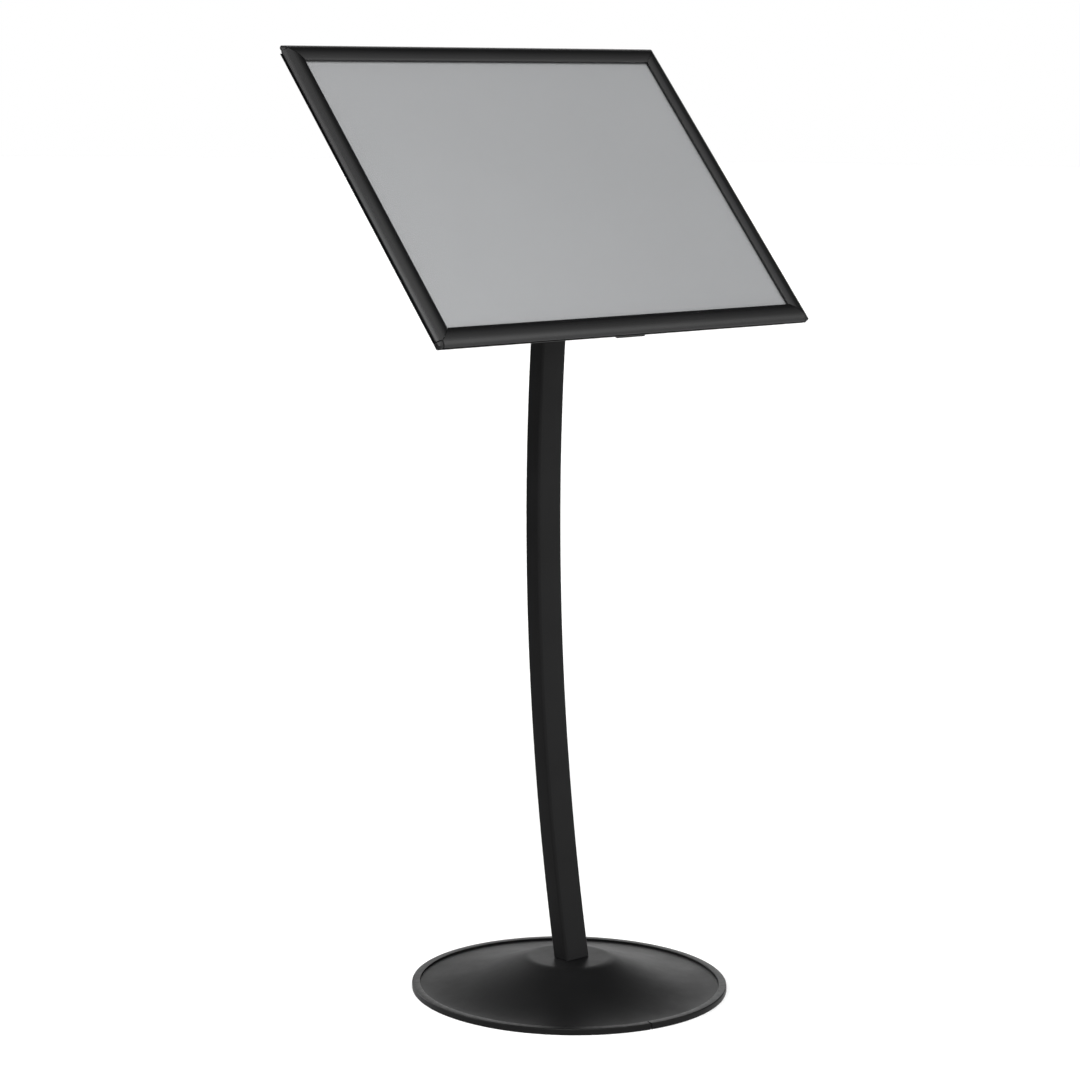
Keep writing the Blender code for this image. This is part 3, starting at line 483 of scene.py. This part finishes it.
def build_dome():
    """The pressed shell, with the two bolt holes cut through its top."""
    bm = revolved(dome_profile(), DOME_STEPS)
    bmesh.ops.remove_doubles(bm, verts=bm.verts, dist=0.02 * MM)
    drawn = bpy.data.objects.new("dome_draft", mesh_from("dome_draft", bm, 60))
    bpy.context.scene.collection.objects.link(drawn)
    tools = []
    for x in (-BOLT_X, BOLT_X):
        tool_bm = bmesh.new()
        bmesh.ops.create_cone(tool_bm, cap_ends=True, segments=24, radius1=BOLT_HOLE_RADIUS,
                              radius2=BOLT_HOLE_RADIUS, depth=20 * MM,
                              matrix=Matrix.Translation((x, BOLT_Y, PLATEAU_HEIGHT)))
        tool = bpy.data.objects.new("bolt_hole", mesh_from("bolt_hole", tool_bm))
        bpy.context.scene.collection.objects.link(tool)
        cut = drawn.modifiers.new("Hole", "BOOLEAN")
        cut.solver = "EXACT"
        cut.object = tool
        tools.append(tool)
    bpy.context.view_layer.update()
    evaluated = drawn.evaluated_get(bpy.context.evaluated_depsgraph_get())
    mesh = bpy.data.meshes.new_from_object(evaluated)
    for obj in (drawn, *tools):
        bpy.data.objects.remove(obj)
    mesh.shade_smooth()
    mesh.set_sharp_from_angle(angle=math.radians(60))
    shown("dome_shell", mesh, "black_powder_coat", replaces=("base_dome",))


def trim_section(inset):
    """Closed U section of the trim, its outside drawn in by inset."""
    inner = TRIM_RADIUS - TRIM_WIDTH
    outer = TRIM_RADIUS - inset
    top = TRIM_HEIGHT - inset
    slot_end = TRIM_RADIUS - TRIM_WALL
    slot_top = RIM_HEIGHT + GAP
    slot_bottom = RIM_HEIGHT - DOME_SHEET - GAP
    corners = [(inner + inset, inset, TRIM_INNER_ROUNDING), (outer, inset, TRIM_OUTER_ROUNDING),
               (outer, top, TRIM_OUTER_ROUNDING), (inner + inset, top, TRIM_INNER_ROUNDING),
               (inner + inset, slot_top, TRIM_SLOT_ROUNDING), (slot_end, slot_top, 0),
               (slot_end, slot_bottom, 0), (inner + inset, slot_bottom, TRIM_SLOT_ROUNDING)]
    return [tuple(point) for point in rounded(corners, 5)]


def build_trim():
    """The edging round the rim, and the recessed floor of its butt joint."""
    opening = TRIM_JOINT_GAP / TRIM_RADIUS
    joint = math.radians(TRIM_JOINT_AZIMUTH)
    bm = revolved(trim_section(0), TRIM_STEPS, joint + opening / 2, 2 * math.pi - opening)
    trim = shown("edge_trim", mesh_from("edge_trim", bm, 40), "black_rubber",
                 replaces=("base_edge_trim",))
    softened(trim, TRIM_EDGE_WIDTH, 3, 60)
    bm = revolved(trim_section(TRIM_JOINT_DEPTH), 8, joint - opening, 2 * opening)
    shown("edge_trim_joint", mesh_from("edge_trim_joint", bm, 40), "black_rubber")


# ---------------------------------------------------------------- post

def post_frame(length):
    """Centre line point and the section's depth direction, measured from the foot."""
    lean = POST_FOOT_LEAN - length / POST_BEND_RADIUS
    y = POST_FOOT_Y + POST_BEND_RADIUS * (math.cos(lean) - math.cos(POST_FOOT_LEAN))
    z = PLATEAU_HEIGHT + GAP + POST_BEND_RADIUS * (math.sin(POST_FOOT_LEAN) - math.sin(lean))
    return Vector((0, y, z)), Vector((0, math.cos(lean), -math.sin(lean)))


def post_surface(x, y, length):
    """A point at (x, y) of the post's section, a length along the post from its foot."""
    centre, depth = post_frame(length)
    return centre + Vector((x, 0, 0)) + depth * y


def crossing(x, y, distance, search):
    """Where a line of the post's surface meets a plane given as a signed distance."""
    low, high = search
    for _ in range(50):
        middle = (low + high) / 2
        if distance(post_surface(x, y, middle)) < 0:
            low = middle
        else:
            high = middle
    return low


def above_foot(point):
    return point.z - PLATEAU_HEIGHT - GAP


def before_plate(point):
    return (point - PANEL_CENTRE).dot(PANEL_NORMAL) - (PLATE_BACK - GAP)


def post_outline(shrink, steps=8):
    """The post's section, drawn in by shrink."""
    half_x = POST_WIDTH / 2 - shrink
    half_y = POST_DEPTH / 2 - shrink
    radius = POST_CORNER_RADIUS - shrink
    return rounded([(-half_x, -half_y, radius), (half_x, -half_y, radius),
                    (half_x, half_y, radius), (-half_x, half_y, radius)], steps)


def build_post():
    """The bent tube, its foot cut level and its top cut along the head plate."""
    bm = bmesh.new()
    walls = []
    for shrink in (0, POST_WALL):
        lines = []
        for x, y in post_outline(shrink):
            start = crossing(x, y, above_foot, FOOT_SEARCH)
            end = crossing(x, y, before_plate, TOP_SEARCH)
            spacing = (end - start) / POST_STATIONS
            points = [post_surface(x, y, start + spacing * i) for i in range(POST_STATIONS + 1)]
            lines.append([bm.verts.new(point) for point in points])
        walls.append(lines)
        for this, following in zip(lines, lines[1:] + lines[:1]):
            for k in range(POST_STATIONS):
                bm.faces.new((this[k], following[k], following[k + 1], this[k + 1]))
    outer, inner = walls
    count = len(outer)
    for k in (0, POST_STATIONS):
        for i in range(count):
            j = (i + 1) % count
            bm.faces.new((outer[i][k], outer[j][k], inner[j][k], inner[i][k]))
    post = shown("post_shape", mesh_from("post_shape", bm, 50), "black_powder_coat",
                 replaces=("post_tube",))
    softened(post, POST_EDGE_WIDTH, 2, 60)


def build_head_weld():
    """The fillet weld round the post's top, with its ripples."""
    toes = []
    for x, y in post_outline(0, 10):
        end = crossing(x, y, before_plate, TOP_SEARCH)
        toes.append((post_surface(x, y, end), post_surface(x, y, end - 10 * MM)))
    dense = []
    for (a, a_low), (b, b_low) in zip(toes, toes[1:] + toes[:1]):
        pieces = max(1, round((b - a).length / WELD_PITCH))
        for i in range(pieces):
            dense.append((a.lerp(b, i / pieces), a_low.lerp(b_low, i / pieces)))
    middle = sum((toe for toe, _ in dense), Vector()) / len(dense)
    bm = bmesh.new()
    rings = []
    for index, (toe, low) in enumerate(dense):
        down = (low - toe).normalized()
        out = toe - middle
        out = (out - PANEL_NORMAL * out.dot(PANEL_NORMAL)).normalized()
        size = WELD_SIZE + sum(height * math.sin(index * step) for height, step in WELD_RIPPLES)
        ring = []
        for i in range(WELD_RING_STEPS + 1):
            share = i / WELD_RING_STEPS
            bulge = WELD_BULGE * math.sin(math.pi * share)
            face = down * size * (share + bulge) + out * size * (1 - share + bulge)
            ring.append(bm.verts.new(toe + face - PANEL_NORMAL * WELD_SET_BACK))
        ring.append(bm.verts.new(toe - out * WELD_ROOT))
        rings.append(ring)
    count = len(rings[0])
    for this, following in zip(rings, rings[1:] + rings[:1]):
        for k in range(count):
            bm.faces.new((this[k], following[k], following[(k + 1) % count], this[(k + 1) % count]))
    shown("head_weld", mesh_from("head_weld", bm, 80), "black_powder_coat")


# ---------------------------------------------------------------- snap frame

def front_point(radius, y):
    """A point of the covers' arched front, or with a smaller radius of the arch beneath it."""
    return Vector((y, -COVER_RADIUS + math.sqrt(radius ** 2 - (y - COVER_CROWN) ** 2)))


def front_arc(radius, start, end, steps):
    return [front_point(radius, start + (end - start) * i / steps) for i in range(steps + 1)]


def cover_outline():
    """Closed section of a cover, with its shoulder and lip slightly rounded."""
    front = front_arc(COVER_RADIUS, COVER_SHOULDER, COVER_WIDTH, 36)
    shoulder = front[0] - HINGE
    shoulder_angle = math.degrees(math.atan2(shoulder.y, shoulder.x))
    hook = arc(HINGE, HOOK_OUTER_RADIUS, HOOK_END, shoulder_angle, 8)
    lip_inner = COVER_WIDTH - COVER_SHEET
    underside = front_arc(COVER_RADIUS - COVER_SHEET, lip_inner, HOOK_ROOT, 16)
    lip_outer_foot = Vector((COVER_WIDTH, COVER_LIP_BOTTOM))
    lip_inner_foot = Vector((lip_inner, COVER_LIP_BOTTOM))
    outline = hook[:-1]
    outline += filleted(hook[-2], front[0], front[1], COVER_SHOULDER_ROUNDING)
    outline += front[1:-1]
    outline += filleted(front[-2], front[-1], lip_outer_foot, COVER_INNER_ROUNDING)
    outline += filleted(front[-1], lip_outer_foot, lip_inner_foot, COVER_LIP_ROUNDING)
    outline += filleted(lip_outer_foot, lip_inner_foot, underside[0], COVER_LIP_ROUNDING)
    outline += underside
    outline += arc(HINGE, HOOK_INNER_RADIUS, HOOK_START, HOOK_END, 14)
    return outline


def cover_end(y):
    """How far short of the side's tip a cover stops, at a distance in from the outer edge."""
    mitre = y + MITRE_GAP / math.sqrt(2)
    reach = COVER_TRIM - COVER_TRIM_ROUNDING
    if y <= reach:
        room = COVER_TRIM
    elif y < COVER_TRIM:
        room = reach + math.sqrt(max(COVER_TRIM_ROUNDING ** 2 - (y - reach) ** 2, 0))
    else:
        room = 0
    return max(mitre, room)


def extruded_side(outline, length, end):
    """bmesh of a section along a side, each line stopping end(y) short of the side's two tips."""
    bm = bmesh.new()
    rows = []
    for sign in (-1, 1):
        rows.append([bm.verts.new((sign * (length / 2 - end(y)), y, z)) for y, z in outline])
    count = len(outline)
    for k in range(count):
        j = (k + 1) % count
        bm.faces.new((rows[0][k], rows[0][j], rows[1][j], rows[1][k]))
    triangles = tessellate_polygon([[Vector((y, z, 0)) for y, z in outline]])
    for row in rows:
        for triangle in triangles:
            bm.faces.new([row[k] for k in triangle])
    return bm


def side_matrix(quarter_turns, reach):
    """The frame of one side's section: X along the side, Y inwards, Z out of the panel's front."""
    angle = quarter_turns * math.pi / 2
    edge = Matrix.Translation((math.sin(angle) * reach, -math.cos(angle) * reach, 0))
    return PANEL @ edge @ Matrix.Rotation(angle, 4, "Z")


def build_covers():
    outline = cover_outline()
    slot = "black_anodised_aluminium"
    for name, quarter_turns, length, reach in SIDES:
        bm = extruded_side(outline, length, cover_end)
        cover = shown(f"cover_{name}_profile", mesh_from("cover_profile", bm, 30), slot, f"{name}_cover",
                      side_matrix(quarter_turns, reach), replaces=(f"cover_{name}",),
                      finish=finish_of(f"cover_{name}", slot))
        softened(cover, COVER_EDGE_WIDTH, 2, 40)


def cap_height(x, y):
    """Height of a cap's domed top, x and y in from its corner: the covers' surfaces blended together."""
    heights = [front_point(COVER_RADIUS, max(value, COVER_SHOULDER)).y for value in (x, y)]
    lower, upper = sorted(heights)
    return lower - CAP_BLEND * math.exp(-(upper - lower) / CAP_BLEND) / 2 - CAP_CLEARANCE


def cap_mesh(bottom):
    """Rounded corner cap, domed to carry on the covers' convex fronts."""
    low, high = CAP_SIZE
    outline = rounded([(low, low, CAP_OUTER_ROUNDING), (high, low, CAP_SIDE_ROUNDING),
                       (high, high, CAP_INNER_ROUNDING), (low, high, CAP_SIDE_ROUNDING)], CAP_STEPS)
    centre = Vector(((low + high) / 2, (low + high) / 2))
    bm = bmesh.new()
    rings = [[bm.verts.new((*point, bottom)) for point in outline]]
    for share in CAP_RINGS:
        edge = max(share - CAP_EDGE_START, 0) / (1 - CAP_EDGE_START)
        drop = CAP_EDGE_DROP * (1 - math.sqrt(1 - edge ** 2))
        ring = []
        for point in outline:
            spot = centre.lerp(point, share)
            ring.append(bm.verts.new((*spot, cap_height(*spot) - drop)))
        rings.append(ring)
    count = len(outline)
    for this, following in zip(rings, rings[1:]):
        for k in range(count):
            bm.faces.new((this[k], this[(k + 1) % count], following[(k + 1) % count], following[k]))
    bm.faces.new(rings[0])
    bm.faces.new(rings[-1])
    return bm


def add_slab(bm, outline, levels):
    """Add an outline filled between two levels."""
    lower, upper = [[bm.verts.new((*point, level)) for point in outline] for level in levels]
    for k in range(len(outline)):
        bm.faces.new((lower[k - 1], lower[k], upper[k], upper[k - 1]))
    bm.faces.new(lower)
    bm.faces.new(upper)


def add_skirt(bm):
    """A deep cap's foot, in line with the rails' floors on both sides."""
    low = CAP_SIZE[0]
    outline = rounded([(low, low, CAP_OUTER_ROUNDING), (SKIRT_REACH, low, SKIRT_ROUNDING),
                       (SKIRT_REACH, SKIRT_REACH, SKIRT_ROUNDING), (low, SKIRT_REACH, SKIRT_ROUNDING)],
                      CAP_STEPS)
    add_slab(bm, outline, SKIRT_LEVELS)


def add_tongue(bm):
    """The diagonal tongue that rests on the corner key."""
    start, end = CAP_TONGUE
    side = CAP_TONGUE_HALF / math.sqrt(2)
    add_slab(bm, [(start + side, start - side), (end + side, end - side),
                  (end - side, end + side), (start - side, start + side)], CAP_TONGUE_LEVELS)


def build_caps():
    for name, sign_x, sign_y in CORNERS:
        bm = cap_mesh(DEEP_CAP_BOTTOM if name in DEEP_CAPS else CAP_BOTTOM)
        add_tongue(bm)
        if name in SKIRTED_CAPS:
            add_skirt(bm)
        bmesh.ops.transform(bm, matrix=Matrix.Diagonal((-sign_x, -sign_y, 1, 1)), verts=bm.verts)
        tip = Matrix.Translation((sign_x * PANEL_WIDTH / 2, sign_y * PANEL_HEIGHT / 2, 0))
        shown(f"corner_cap_{name}_shape", mesh_from("corner_cap_shape", bm, 50), "black_plastic",
              world=PANEL @ tip, replaces=(f"corner_cap_{name}",))


# ---------------------------------------------------------------- the object

build_dome()
build_trim()
build_post()
build_head_weld()
build_covers()
build_caps()
slots = {row["node"]: row["material_slot"] for row in frame["record"]["subparts"]}
for node_name, width in EDGE_WIDTHS.items():
    refined(node_name, slots[node_name], width)
for node_name, width, levels in SHEETS:
    refined(node_name, slots[node_name], width, levels)
for node_name, obj in frame["nodes"].items():
    obj.data.materials.clear()
    obj.data.materials.append(MATERIALS[finish_of(node_name, slots[node_name])])


# ---------------------------------------------------------------- floor, light and camera

def only_for_camera(tree, seen, otherwise, output):
    """Show one shader to the eye, and light the object with another."""
    path = node(tree, "LightPath")
    mix = node(tree, "MixShader")
    tree.links.new(path.outputs["Is Camera Ray"], mix.inputs[0])
    tree.links.new(otherwise, mix.inputs[1])
    tree.links.new(seen, mix.inputs[2])
    tree.links.new(mix.outputs[0], output.inputs["Surface"])


def build_floor():
    """A wide pale floor whose light fades out towards the back of the studio."""
    bm = bmesh.new()
    bmesh.ops.create_circle(bm, cap_ends=True, segments=96, radius=FLOOR_RADIUS)
    floor = bpy.data.objects.new("floor", mesh_from("floor", bm))
    bpy.context.scene.collection.objects.link(floor)
    mat = bpy.data.materials.new("pale_floor")
    mat.use_nodes = True
    tree = mat.node_tree
    shader = tree.nodes["Principled BSDF"]
    shader.inputs["Roughness"].default_value = 0.9
    shader.inputs["Specular IOR Level"].default_value = 0.1
    coords = node(tree, "TexCoord").outputs["Object"]
    mottle = remapped(tree, noise(tree, coords, 3.0), 0.0, 1.0)
    tree.links.new(mixed(tree, mottle, (0.90, 0.90, 0.90), (0.93, 0.93, 0.93)), shader.inputs["Base Color"])
    split = node(tree, "SeparateXYZ")
    tree.links.new(coords, split.inputs[0])
    fade = node(tree, "MapRange", interpolation_type="SMOOTHSTEP", in_From_Min=FLOOR_FADE[0],
                in_From_Max=FLOOR_FADE[1], in_To_Min=FLOOR_LIGHT, in_To_Max=0.0)
    tree.links.new(split.outputs["Y"], fade.inputs["Value"])
    glow = node(tree, "Emission")
    tree.links.new(fade.outputs["Result"], glow.inputs["Strength"])
    lift = node(tree, "Emission", in_Strength=FLOOR_LIFT)
    bright = node(tree, "AddShader")
    tree.links.new(shader.outputs[0], bright.inputs[0])
    tree.links.new(lift.outputs[0], bright.inputs[1])
    only_for_camera(tree, bright.outputs[0], glow.outputs[0], tree.nodes["Material Output"])
    floor.data.materials.append(mat)


def build_world():
    """Soft lights round the stand, each a smooth patch of sky, against a white background."""
    world = bpy.data.worlds.new("studio")
    bpy.context.scene.world = world
    world.use_nodes = True
    tree = world.node_tree
    direction = node(tree, "TexCoord").outputs["Generated"]
    total = None
    for azimuth, elevation, focus, strength in SOFT_LIGHTS:
        turn, rise = math.radians(azimuth), math.radians(elevation)
        towards = (math.cos(rise) * math.cos(turn), math.cos(rise) * math.sin(turn), math.sin(rise))
        facing = node(tree, "VectorMath", operation="DOT_PRODUCT")
        tree.links.new(direction, facing.inputs[0])
        facing.inputs[1].default_value = towards
        falloff = node(tree, "Math", operation="MULTIPLY_ADD")
        tree.links.new(facing.outputs["Value"], falloff.inputs[0])
        falloff.inputs[1].default_value = focus
        falloff.inputs[2].default_value = -focus
        patch = node(tree, "Math", operation="EXPONENT")
        tree.links.new(falloff.outputs[0], patch.inputs[0])
        light = node(tree, "Math", operation="MULTIPLY_ADD")
        tree.links.new(patch.outputs[0], light.inputs[0])
        light.inputs[1].default_value = strength
        light.inputs[2].default_value = 0.0
        if total is not None:
            tree.links.new(total, light.inputs[2])
        total = light.outputs[0]
    lights = tree.nodes["Background"]
    tree.links.new(total, lights.inputs["Strength"])
    lights.inputs["Color"].default_value = (1, 1, 1, 1)
    white = node(tree, "Background", in_Color=(1, 1, 1, 1), in_Strength=1.0)
    only_for_camera(tree, white.outputs[0], lights.outputs[0], tree.nodes["World Output"])


def build_fill():
    """A near, matt fill light that brightens the panel's lower left."""
    data = bpy.data.lights.new("panel_fill", "AREA")
    data.shape = "DISK"
    data.size = FILL_SIZE
    data.energy = FILL_POWER
    fill = bpy.data.objects.new("panel_fill", data)
    bpy.context.scene.collection.objects.link(fill)
    aim = (PANEL_CENTRE - FILL_POSITION).to_track_quat("-Z", "Y").to_matrix().to_4x4()
    fill.matrix_world = Matrix.Translation(FILL_POSITION) @ aim
    fill.visible_camera = False
    fill.visible_glossy = False


def build_camera():
    right = Vector((math.cos(CAMERA_YAW), math.sin(CAMERA_YAW), 0))
    ahead = Vector((-math.sin(CAMERA_YAW), math.cos(CAMERA_YAW), 0))
    up = Vector((0, 0, 1))
    forward = ahead * math.cos(CAMERA_PITCH) - up * math.sin(CAMERA_PITCH)
    level_up = up * math.cos(CAMERA_PITCH) + ahead * math.sin(CAMERA_PITCH)
    rolled_right = right * math.cos(CAMERA_ROLL) + level_up * math.sin(CAMERA_ROLL)
    rolled_up = level_up * math.cos(CAMERA_ROLL) - right * math.sin(CAMERA_ROLL)
    data = bpy.data.cameras.new("camera")
    data.sensor_width = CAMERA_SENSOR
    data.lens = CAMERA_LENS
    data.clip_end = 200
    camera = bpy.data.objects.new("camera", data)
    bpy.context.scene.collection.objects.link(camera)
    turn = Matrix((rolled_right, rolled_up, -forward)).transposed().to_4x4()
    camera.matrix_world = Matrix.Translation(CAMERA_POSITION) @ turn
    bpy.context.scene.camera = camera


build_floor()
build_world()
build_fill()
build_camera()
bpy.context.scene.view_settings.view_transform = "Standard"
